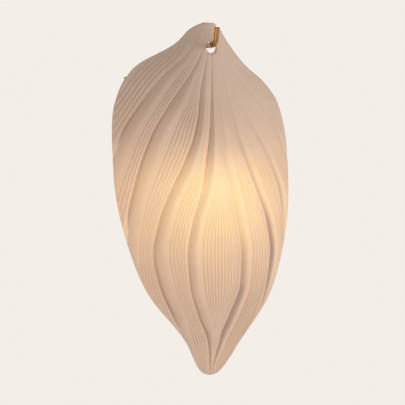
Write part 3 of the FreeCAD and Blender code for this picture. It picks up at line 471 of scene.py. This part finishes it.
# %% Ribs
rib_depth = 1.3                              # mm
rib_share = 0.42                             # a narrow rib is this deep for its pitch
least_pitch = 0.9                            # mm, where ribs have faded away
outer_rib_pitch = 5.0                        # mm, past the last fold
right_rib_shares = ((0.30, 0.16), (0.46, 1.0))       # ribs are faint high on the right
rib_margin = 0.8                             # share of a flank or a ridge that ribs keep clear of
groove_power = 1.4                           # above 1 grooves are narrow and ribs round
rib_fades = 0.5                              # over half a rib at both ends of a row
ribs_begin = 0.03                            # share of the height
ribs_grow = 0.05


def rib_groove(x, share, panel):
    """How deep the grooves between the ribs are, in mm."""
    begin = np.where(panel.inside, panel.first + rib_margin * panel.ridge, rib_margin * panel.first)
    end = panel.width - rib_margin * panel.last
    pitch = np.where(panel.inside, (end - begin) / np.maximum(panel.ribs, 1), outer_rib_pitch)
    start = np.where(np.isfinite(panel.from_left), panel.from_left - begin,
                     panel.from_right - rib_margin * panel.last)
    turn = start / pitch
    groove = (0.5 + 0.5 * np.cos(2 * np.pi * turn)) ** groove_power
    row_end = np.where(panel.inside, np.clip((panel.ribs - turn) / rib_fades, 0, 1), 1.0)
    depth = np.clip(rib_share * (pitch - least_pitch), 0.0, rib_depth)
    depth = depth * np.where(x > 0, smooth(right_rib_shares, share), 1.0)
    return (depth * groove * np.clip(turn / rib_fades, 0, 1) * row_end
            * np.clip((share - ribs_begin) / ribs_grow, 0, 1))


def shell_front(x, z, ribbed=True):
    """How far forward the shell's outer face is, in metres, for arrays in metres."""
    x = np.asarray(x, float) / MM
    share = (shell_top - np.asarray(z, float)) / shell_height
    front = hole_front / MM + shell_wall / MM / 2 + smooth(ridge_levels, share)
    front = front - smooth(curve_levels, share) * x * x
    panel = panel_at(x, share)
    front -= calm_at(x, share, panel) * fold_fall(x, share, panel)
    if ribbed:
        front -= rib_groove(x, share, panel)
    return front * MM


print("front at the middle, mm:", round(float(shell_front([0.0], [0.0])[0] / MM), 2))

# %% [markdown]
# ## Shell: the outline
#
# The petal's edge is one curve through the widths given above. A natural spline is as smooth
# as a bent lath, which is how such an outline would be drawn on a pattern. It is kept as a
# fine chain of points, because that makes distances from it simple to find.

# %% Outline
outline_steps = 1600
top_steps = 20


def natural_spline(at, values, t):
    """The bent lath through the values, at the lengths t."""
    count = len(at)
    run = np.diff(at)
    matrix = np.zeros((count, count))
    known = np.zeros(count)
    for i in range(1, count - 1):
        matrix[i, i - 1:i + 2] = run[i - 1], 2 * (run[i - 1] + run[i]), run[i]
        known[i] = 6 * ((values[i + 1] - values[i]) / run[i] - (values[i] - values[i - 1]) / run[i - 1])
    matrix[0, 0] = matrix[-1, -1] = 1.0
    bend = np.linalg.solve(matrix, known)
    i = np.clip(np.searchsorted(at, t, side="right") - 1, 0, count - 2)
    a = (at[i + 1] - t) / run[i]
    b = (t - at[i]) / run[i]
    return (a * values[i] + b * values[i + 1]
            + ((a**3 - a) * bend[i] + (b**3 - b) * bend[i + 1]) * run[i] ** 2 / 6)


def outline_curve():
    """The right half of the outline as a fine chain of points in the front view, in metres."""
    knots = np.array(outline_shares)
    chords = np.hypot(np.diff(knots[:, 0]) * shell_height, np.diff(knots[:, 1]) * shell_half_width)
    at = np.concatenate([[0], np.cumsum(chords)])
    t = np.linspace(0, at[-1], outline_steps)
    points = np.column_stack([natural_spline(at, knots[:, 1] * shell_half_width, t),
                              natural_spline(at, shell_top - knots[:, 0] * shell_height, t)])
    points[:, 0] = np.clip(points[:, 0], 0.0, shell_half_width)
    top_edge = np.column_stack([np.linspace(0, points[0, 0], top_steps)[:-1],
                                np.full(top_steps - 1, shell_top)])
    return np.vstack([top_edge, points])


outline = outline_curve()
both_sides = np.vstack([outline, outline * (-1, 1)])
print("points of the outline:", len(both_sides))

# %% [markdown]
# ## Shell: where the faces stop
#
# The rim is rounded over its whole thickness. So the faces stop short of the outline by half
# of it, and a half-round strip closes the gap. A place is inside if its nearest point of the
# outline is far enough, and halving the doubt a few times finds the limit in every row.

# %% Rows and their reach
rows = 250
top_clear = 1.001                  # the first and the last row keep this much of
low_clear = 1.1                    # the rim's rounding clear of the ends
halvings = 18


def rim_distance(x, z):
    """Distance of places in the front view from the outline, and the nearest outline point."""
    gap = np.hypot(x[:, None] - both_sides[None, :, 0], z[:, None] - both_sides[None, :, 1])
    nearest = gap.argmin(axis=1)
    return gap[np.arange(len(x)), nearest], both_sides[nearest]


def inner_half_width(z):
    """How far from the middle the faces reach at each height."""
    side = outline[top_steps - 1:]
    low = np.zeros(len(z))
    high = np.maximum(np.interp(-z, -side[:, 1], side[:, 0]), 0.0)
    for _ in range(halvings):
        middle = (low + high) / 2
        far_enough = rim_distance(middle, z)[0] >= rim_round
        low = np.where(far_enough, middle, low)
        high = np.where(far_enough, high, middle)
    return low


row_heights = np.linspace(shell_top - rim_round * top_clear, shell_low.z + rim_round * low_clear, rows)
row_reach = inner_half_width(row_heights)
print("reach of the faces at the middle row, mm:", round(row_reach[rows // 2] / MM, 2))

# %% [markdown]
# ## Shell: the columns
#
# A plain square grid would cut across the folds and ribs and leave them jagged. Here the
# columns follow the folds instead, and so run nearly along the ribs, from the top edge to the
# rim. Past the rim a column stays on the rim.

# %% Columns along the folds
columns_in_panel = (54, 60, 60, 48)          # from the middle outwards
outer_columns = 90                           # past the last fold
outer_density = 60                           # of them would make one more panel
outer_breadth = 60.0                         # mm, which they take up
least_column = 0.06                          # mm, where the fan draws together


def column_numbers():
    """Places across the fan, in panel numbers: whole numbers are folds."""
    right = [0.0]
    for panel, steps in enumerate(columns_in_panel):
        right += list(panel + (np.arange(steps) + 1) / steps)
    right += list(folds_a_side + (np.arange(outer_columns) + 1) / outer_density)
    right = np.array(right)
    return np.concatenate([-right[:0:-1], right])


def side_places(lines, numbers):
    """How far from the middle the columns of one side are, in mm."""
    known = [0.0]
    for place, steps in zip(lines[:, 0], columns_in_panel):
        known.append(max(place, known[-1] + steps * least_column))
    known.append(known[-1] + outer_breadth)
    marks = list(range(folds_a_side + 1)) + [folds_a_side + outer_columns / outer_density]
    return np.interp(numbers, marks, known)


def shell_grid():
    """Places of the columns in every row, in metres."""
    numbers = column_numbers()
    grid = np.zeros((rows, len(numbers), 2))
    for i, (z, reach) in enumerate(zip(row_heights, row_reach)):
        left, right = fold_lines(np.array([(shell_top - z) / shell_height]))
        x = np.where(numbers < 0, -side_places(left, -numbers), side_places(right, numbers)) * MM
        grid[i, :, 0] = np.clip(x, -reach, reach)
        grid[i, :, 1] = z
    return grid


grid = shell_grid()
print("rows and columns:", grid.shape[:2])

# %% [markdown]
# ## Shell: points that share a place
#
# Where several columns have run into the rim, they lie in one place. Blender can merge such
# points by distance, but it may then merge the front and the back in different ways. So each
# place gets one number from the start, and both faces use the same numbers.

# %% Shared points
def point_numbers():
    """The number of the point at every place of the grid; past the rim all share one."""
    width = grid.shape[1]
    numbers = []
    for i, reach in enumerate(row_reach):
        inside = np.flatnonzero(np.abs(grid[i, :, 0]) < reach - least_column * MM / 2)
        numbers.append(i * width + np.clip(np.arange(width), inside[0] - 1, inside[-1] + 1))
    return np.array(numbers)


used_places, shared_points = np.unique(point_numbers(), return_inverse=True)
shared_points = shared_points.reshape(grid.shape[:2]).tolist()
print("points of one face:", len(used_places))

# %% [markdown]
# ## Shell: the rim
#
# A cast rim is round, so that it comes out of the mould and does not chip. Rings of points
# are laid in a half circle from the front's edge to the back's and joined by faces. A bevel
# would round it too, but rings laid like this stay within the outline.

# %% Round rim
rim_steps = 6


def edge_loop(numbers):
    """The points once round the edge of a face, from the left end of the top row."""
    top = list(dict.fromkeys(numbers[0]))
    tip = list(dict.fromkeys(reversed(numbers[-1])))
    return top + [row[-1] for row in numbers[1:]] + tip[1:] + [row[0] for row in numbers[-2:0:-1]]


def round_rim(points, faces, loop, outer, inner):
    """Joins the front's edge to the back's by a half-round strip."""
    edge = points[loop][:, (0, 2)]
    outward = rim_distance(edge[:, 0], edge[:, 1])[1] - edge
    outward /= np.linalg.norm(outward, axis=1)[:, None]
    middle = (outer[loop] + inner[loop]) / 2
    half = (outer[loop] - inner[loop]) / 2
    rings = [np.array(loop)]
    for k in range(1, rim_steps):
        turn = math.pi * k / rim_steps
        place = edge + outward * rim_round * math.sin(turn)
        rings.append(len(points) + np.arange(len(loop)))
        points = np.vstack([points, np.column_stack([place[:, 0], -middle - half * math.cos(turn),
                                                     place[:, 1]])])
    rings.append(np.array(loop) + len(outer))
    for one, other in zip(rings, rings[1:]):
        faces += np.column_stack([np.roll(one, 1), one, other, np.roll(other, 1)]).tolist()
    return points


print("points round the edge:", len(edge_loop(shared_points)))

# %% [markdown]
# ## Shell: front and back
#
# The back of a cast shell is smooth, so it is the same grid one thickness further in, without
# the ribs. The usual way, a Solidify modifier, would copy the ribs to the back and leave the
# rim square. Both faces have the same edge, and the rim closes the shell without a gap.

# %% Mesh of the shell
back_margin = 0.3                            # of a rib's depth, added so that grooves don't thin the shell


def front_and_back(numbers, behind):
    """Faces of the front, each with its twin on the back, whose numbers are that much higher."""
    faces = []
    for above, below in zip(numbers, numbers[1:]):
        for j in range(len(above) - 1):
            corners = (below[j], below[j + 1], above[j + 1], above[j])
            face = [corner for k, corner in enumerate(corners) if corner != corners[k - 1]]
            if len(face) > 2:
                faces.append(face)
                faces.append([corner + behind for corner in reversed(face)])
    return faces


def shell_mesh():
    """Front, back and rim in one closed mesh."""
    x = grid[..., 0].ravel()[used_places]
    z = grid[..., 1].ravel()[used_places]
    outer = shell_front(x, z)
    inner = shell_front(x, z, ribbed=False) - shell_wall - rib_depth * back_margin * MM
    faces = front_and_back(shared_points, len(outer))
    points = np.vstack([np.column_stack([x, -outer, z]), np.column_stack([x, -inner, z])])
    points = round_rim(points, faces, edge_loop(shared_points), outer, inner)
    mesh = bpy.data.meshes.new("shell")
    mesh.from_pydata(points.tolist(), [], faces)
    work = bmesh.new()
    work.from_mesh(mesh)
    bmesh.ops.recalc_face_normals(work, faces=work.faces)
    print("open edges of the shell:", sum(not edge.is_manifold for edge in work.edges))
    work.to_mesh(mesh)
    work.free()
    return mesh


shell = bpy.data.objects.new("shell", shell_mesh())
bpy.context.scene.collection.objects.link(shell)
print("shell faces:", len(shell.data.polygons))

# %% [markdown]
# ## Shell: the hanging hole
#
# The hook goes through a round hole whose edge is as round as the rim, so that it does not
# cut into the sleeve. Leaving faces out would give a ragged hole, so it is cut. The cutter is
# turned like a spool: narrow at the middle of the resin and flaring to both sides.

# %% Spool that cuts the hole
spool_spokes = 72
spool_arc = 10                               # steps from one end of the flare to the other
spool_flare = 2 * hole_lip                   # how much wider its ends are
spool_reach = 3 * hole_lip                   # how far it reaches to both sides


def spool_profile():
    """Radii of the spool and where they are along it, from one end to the other."""
    profile = [(hole_radius + spool_flare, -spool_reach)]
    for k in range(spool_arc + 1):
        turn = math.pi * k / spool_arc - math.pi / 2
        profile.append((hole_radius + hole_lip - hole_lip * math.cos(turn), hole_lip * math.sin(turn)))
    profile.append((hole_radius + spool_flare, spool_reach))
    return profile


def spool_cutter():
    """The spool at the hole's place, turned from its profile."""
    work = bmesh.new()
    rings = []
    for radius, along in spool_profile():
        ring = []
        for k in range(spool_spokes):
            turn = 2 * math.pi * k / spool_spokes
            ring.append(work.verts.new((radius * math.cos(turn), -hole_front - along,
                                        hole_height + radius * math.sin(turn))))
        rings.append(ring)
    for one, other in zip(rings, rings[1:]):
        for k in range(spool_spokes):
            after = (k + 1) % spool_spokes
            work.faces.new((one[k], one[after], other[after], other[k]))
    work.faces.new(rings[0])
    work.faces.new(rings[-1])
    bmesh.ops.recalc_face_normals(work, faces=work.faces)
    mesh = bpy.data.meshes.new("spool")
    work.to_mesh(mesh)
    work.free()
    return bpy.data.objects.new("spool", mesh)


spool = spool_cutter()
print("spool faces:", len(spool.data.polygons))

# %% [markdown]
# ## Shell: cutting it
#
# The exact solver takes longer than the fast one, but it leaves clean edges on a fine mesh.
# The result is applied at once, so that the glow of the next step lands on the final points.

# %% Hanging hole
bpy.context.scene.collection.objects.link(spool)
cut = shell.modifiers.new("hole", "BOOLEAN")
cut.operation = "DIFFERENCE"
cut.solver = "EXACT"
cut.object = spool
bpy.context.view_layer.update()
with_hole = bpy.data.meshes.new_from_object(shell.evaluated_get(bpy.context.evaluated_depsgraph_get()))
shell.modifiers.clear()
shell.data = with_hole
bpy.data.objects.remove(spool)
shell.data.shade_smooth()
print("shell faces with the hole:", len(shell.data.polygons))

# %% [markdown]
# ## Shell: light from behind
#
# When the lamp burns, the resin glows: most where its back faces the bulb and is near it. The
# glow is painted light, given to the resin as light of its own. Light falls off with the square
# of the distance and with the angle, and the lampholder stands in its way upwards, which paints
# shade on the shell above the bulb. Beside each fold a warm line of painted light runs on its
# outer side and a band of painted shade on its inner side, and the grooves between the ribs are
# painted a little darker. Tracing light through the resin would be slow and grainy, so the glow
# is worked out once for every point and kept with the mesh.

# %% Glow on the shell
bulb_low, bulb_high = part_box("bulb_glass")
bulb_radius = (bulb_high.x - bulb_low.x) / 2
bulb_middle = np.array([0.0, (bulb_low.y + bulb_high.y) / 2, bulb_low.z + bulb_radius])
bulge_at_bulb = 15.0 * MM                        # the shell stands this far in front of the hole there

# painted shade: the lampholder dims the glow on the shell above the bulb
holder_upward = (-0.3, 0.0, 0.3, 0.55, 0.85)     # 0 is level with the bulb, 1 straight up
holder_lets_by = (1.0, 0.92, 0.55, 0.28, 0.12)
# painted light and shade beside each fold: a brighter warm line on its outer side, a darker band on its inner
# side
bright_line_breadth = 7.0                               # mm beside a fold, on its outer side
bright_line_gain = 0.9
shade_band_breadth = 11.0                             # mm beside a fold, on its inner side
shade_band_loss = 0.5
# painted shade in the grooves between the ribs
groove_shade_loss = 0.28
slope_step = 0.6 * MM                            # to each side, for measuring which way the back faces


def light_on_back(x, z, front):
    """Light that reaches the back of the shell, 1 straight in front of the bulb."""
    def slope(across, down):
        after = shell_front(x + across, z + down, ribbed=False)
        before = shell_front(x - across, z - down, ribbed=False)
        return (after - before) / (2 * slope_step)

    facing = np.column_stack([slope(slope_step, 0.0), np.ones(len(x)), slope(0.0, slope_step)])
    facing /= np.linalg.norm(facing, axis=1)[:, None]
    ray = bulb_middle - np.column_stack([x, -(front - shell_wall), z])
    distance = np.linalg.norm(ray, axis=1)
    cosine = np.clip((ray * facing).sum(axis=1) / distance, 0.0, 1.0)
    nearest = abs(-bulb_middle[1] - (hole_front + bulge_at_bulb - shell_wall))
    upward = -ray[:, 2] / distance
    return cosine * (nearest / distance) ** 2 * np.interp(upward, holder_upward, holder_lets_by)


def glow_on(points):
    """Light that comes through the resin at every point."""
    x, z = points[:, 0], points[:, 2]
    front = shell_front(x, z, ribbed=False)
    panel = panel_at(x / MM, (shell_top - z) / shell_height)
    outer_side = np.where(x < 0, panel.from_right, panel.from_left)
    inner_side = np.where(x < 0, panel.from_left, panel.from_right)
    # painted light beside each fold on its outer side, painted shade on its inner side and in the rib grooves
    bright_line = np.clip(1 - outer_side / bright_line_breadth, 0, 1)
    shade_band = np.clip(1 - inner_side / shade_band_breadth, 0, 1)
    groove = (front - shell_front(x, z)) / (rib_depth * MM)
    return (light_on_back(x, z, front) * (1 + bright_line_gain * bright_line - shade_band_loss * shade_band)
            * (1 - groove_shade_loss * groove))


shell_points = np.zeros(len(shell.data.vertices) * 3)
shell.data.vertices.foreach_get("co", shell_points)
shell_glow = glow_on(shell_points.reshape(-1, 3))
glow = shell.data.attributes.new("glow", "FLOAT", "POINT")
glow.data.foreach_set("value", shell_glow.astype(np.float32))
print("glow from", round(float(shell_glow.min()), 3), "to", round(float(shell_glow.max()), 3))

# %% [markdown]
# ## Shell: the resin
#
# The resin is matt, cream-white and a little cloudy, and its surface is faintly uneven from
# the mould. The glow turns from deep amber where little light comes through to pale yellow
# in front of the bulb, so a ramp of tones is truer here than one colour of light.

# %% Resin
glow_tones = (
    (0.00, (0.0, 0.0, 0.0, 1.0)), (0.05, (0.085, 0.046, 0.025, 1.0)), (0.11, (0.18, 0.10, 0.052, 1.0)),
    (0.24, (0.34, 0.20, 0.085, 1.0)), (0.45, (0.46, 0.31, 0.115, 1.0)), (1.00, (0.54, 0.43, 0.15, 1.0)))
mould_grain = 0.05 * MM
resin_sheen = 0.35


def make_resin():
    """Cloudy cream resin that shows the light kept with the mesh."""
    finish, tree, shader, place = start_finish("shell resin")
    clouds = noise(tree, place, scale=18.0, detail=4.0)
    colour = spread(tree, clouds, linear(203, 180, 163), linear(212, 190, 174))
    tree.links.new(colour, shader.inputs["Base Color"])
    grain = noise(tree, place, scale=900.0, detail=2.0)
    tree.links.new(spread(tree, grain, 0.55, 0.68), shader.inputs["Roughness"])
    bump(tree, shader, grain, mould_grain)
    shader.inputs["Specular IOR Level"].default_value = resin_sheen
    attribute = tree.nodes.new("ShaderNodeAttribute")
    attribute.attribute_name = "glow"
    tree.links.new(ramp(tree, attribute.outputs["Fac"], glow_tones), shader.inputs["Emission Color"])
    shader.inputs["Emission Strength"].default_value = 1.0
    return finish


shell.data.materials.clear()
shell.data.materials.append(make_resin())
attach(shell, "shell")
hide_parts("shell_shade")
print("finish of the shell:", shell.data.materials[0].name)

# %% [markdown]
# ## Metals
#
# The canopy, the arms and the cup are polished brass. Nuts, washers, contacts and terminals
# are plain brass. The bracket and a few small parts are zinc-plated steel, and the bulb's cap
# is rolled aluminium. One recipe serves them all: a metal is never quite even, so a slow
# cloud varies its tone, and a drawn-out noise gives it the fine lines of wheel or roller.

# %% Metals
polish_lines = 0.008 * MM
along_z = (1.0, 1.0, 0.06)
along_x = (0.08, 1.0, 1.0)


def make_metal(name, dark, light, rough_low, rough_high, line_stretch=along_z):
    """A metal between two tones, with fine lines and a roughness between two values."""
    finish, tree, shader, place = start_finish(name)
    tone = spread(tree, noise(tree, place, scale=35.0, detail=4.0), dark, light)
    tree.links.new(tone, shader.inputs["Base Color"])
    lines = noise(tree, place, scale=1400.0, stretch=line_stretch)
    tree.links.new(spread(tree, lines, rough_low, rough_high), shader.inputs["Roughness"])
    bump(tree, shader, lines, polish_lines)
    shader.inputs["Metallic"].default_value = 1.0
    return finish


def give(finish, *names):
    """Puts a finish on pieces of the frame."""
    for name in names:
        node = frame["nodes"][name]
        node.data.materials.clear()
        node.data.materials.append(finish)
    print(finish.name + ":", ", ".join(names))


give(make_metal("polished brass", linear(156, 114, 64), linear(178, 136, 82), 0.14, 0.26),
     "hook_arm", "hook_rosette", "canopy_cover", "canopy_screws", "lamp_arm", "arm_rosette",
     "holder_cup", "cup_nut")
give(make_metal("turned brass", linear(176, 146, 92), linear(192, 162, 106), 0.3, 0.42),
     "hook_nut", "arm_nut", "hook_washer", "arm_washer", "contact_shell", "centre_contact",
     "terminal_screws", "earth_lug", "earth_screw")
give(make_metal("zinc-plated steel", linear(150, 152, 156), linear(176, 178, 180), 0.32, 0.5, along_x),
     "mounting_bracket", "block_screws", "filament_wires")
give(make_metal("rolled aluminium", linear(186, 186, 184), linear(206, 206, 203), 0.22, 0.34),
     "bulb_cap", "cap_contact")

# %% [markdown]
# ## Plastics, rubber and ceramic
#
# Moulded parts differ from cast metal by their sheen: the colour is even, and a fine grain
# from the mould breaks the highlight. They are small and mostly hidden, so one recipe with a
# colour and a roughness for each is enough. The leads are brown, blue and green.

# %% Moulded parts
moulded_grain = 0.02 * MM
moulded_sheen = 0.4
rougher = 0.12                                   # how much roughness varies over a piece


def make_moulded(name, dark, light, roughness):
    """A moulded material between two tones, with a fine grain."""
    finish, tree, shader, place = start_finish(name)
    tone = spread(tree, noise(tree, place, scale=60.0), dark, light)
    tree.links.new(tone, shader.inputs["Base Color"])
    grain = noise(tree, place, scale=700.0, detail=2.0)
    tree.links.new(spread(tree, grain, roughness, roughness + rougher), shader.inputs["Roughness"])
    bump(tree, shader, grain, moulded_grain)
    shader.inputs["Specular IOR Level"].default_value = moulded_sheen
    return finish


for piece, material_name, dark, light, roughness in (
        ("hook_sleeve", "clear silicone", linear(190, 168, 148), linear(202, 180, 160), 0.3),
        ("cable_grommet", "black rubber", linear(24, 24, 25), linear(34, 34, 35), 0.6),
        ("holder_body", "holder plastic", linear(224, 220, 210), linear(232, 229, 220), 0.34),
        ("terminal_block", "terminal block", linear(228, 227, 221), linear(238, 237, 231), 0.4),
        ("holder_insert", "ceramic", linear(226, 220, 208), linear(236, 231, 220), 0.5),
        ("cap_insulator", "black glass", linear(16, 16, 18), linear(22, 22, 24), 0.12),
        ("live_lead", "brown lead", linear(98, 58, 34), linear(112, 68, 42), 0.35),
        ("neutral_lead", "blue lead", linear(34, 84, 152), linear(44, 98, 168), 0.35),
        ("earth_lead", "green lead", linear(70, 128, 44), linear(84, 144, 54), 0.35),
        ("bulb_stem", "stem glass", linear(206, 212, 212), linear(218, 224, 224), 0.1)):
    give(make_moulded(material_name, dark, light, roughness), piece)

# %% [markdown]
# ## The bulb
#
# The ball is opal glass: it hides the light threads and glows evenly, a bit less towards its
# neck. A ramp along its height does that with no light source inside, so the picture has no
# grain. It has to be bright without burning out to a flat white.

# %% Bulb
opal_glow = 0.9
opal_roughness = 0.18


def make_opal():
    """Opal glass that glows, less and warmer towards the bulb's neck."""
    finish, tree, shader, place = start_finish("opal glass")
    tone = spread(tree, noise(tree, place, scale=25.0), linear(250, 238, 214), linear(253, 243, 222))
    tree.links.new(tone, shader.inputs["Base Color"])
    shader.inputs["Roughness"].default_value = opal_roughness
    split = tree.nodes.new("ShaderNodeSeparateXYZ")
    tree.links.new(place, split.inputs["Vector"])
    level = tree.nodes.new("ShaderNodeMapRange")
    level.inputs["From Min"].default_value = bulb_low.z
    level.inputs["From Max"].default_value = bulb_high.z
    tree.links.new(split.outputs["Z"], level.inputs["Value"])
    light = ramp(tree, level.outputs["Result"], [
        (0.0, linear(255, 222, 160)), (0.55, linear(255, 226, 168)), (0.85, linear(214, 150, 84)),
        (1.0, linear(120, 74, 40))])
    tree.links.new(light, shader.inputs["Emission Color"])
    shader.inputs["Emission Strength"].default_value = opal_glow
    return finish


give(make_opal(), "bulb_glass")
give(make_moulded("light threads", linear(250, 206, 110), linear(252, 214, 124), 0.6), "bulb_filaments")

# %% [markdown]
# ## Last step
#
# The picture is shown with plain colours, so that a finish looks as bright as it was chosen.

# %% Finish
bpy.context.scene.view_settings.view_transform = "Standard"
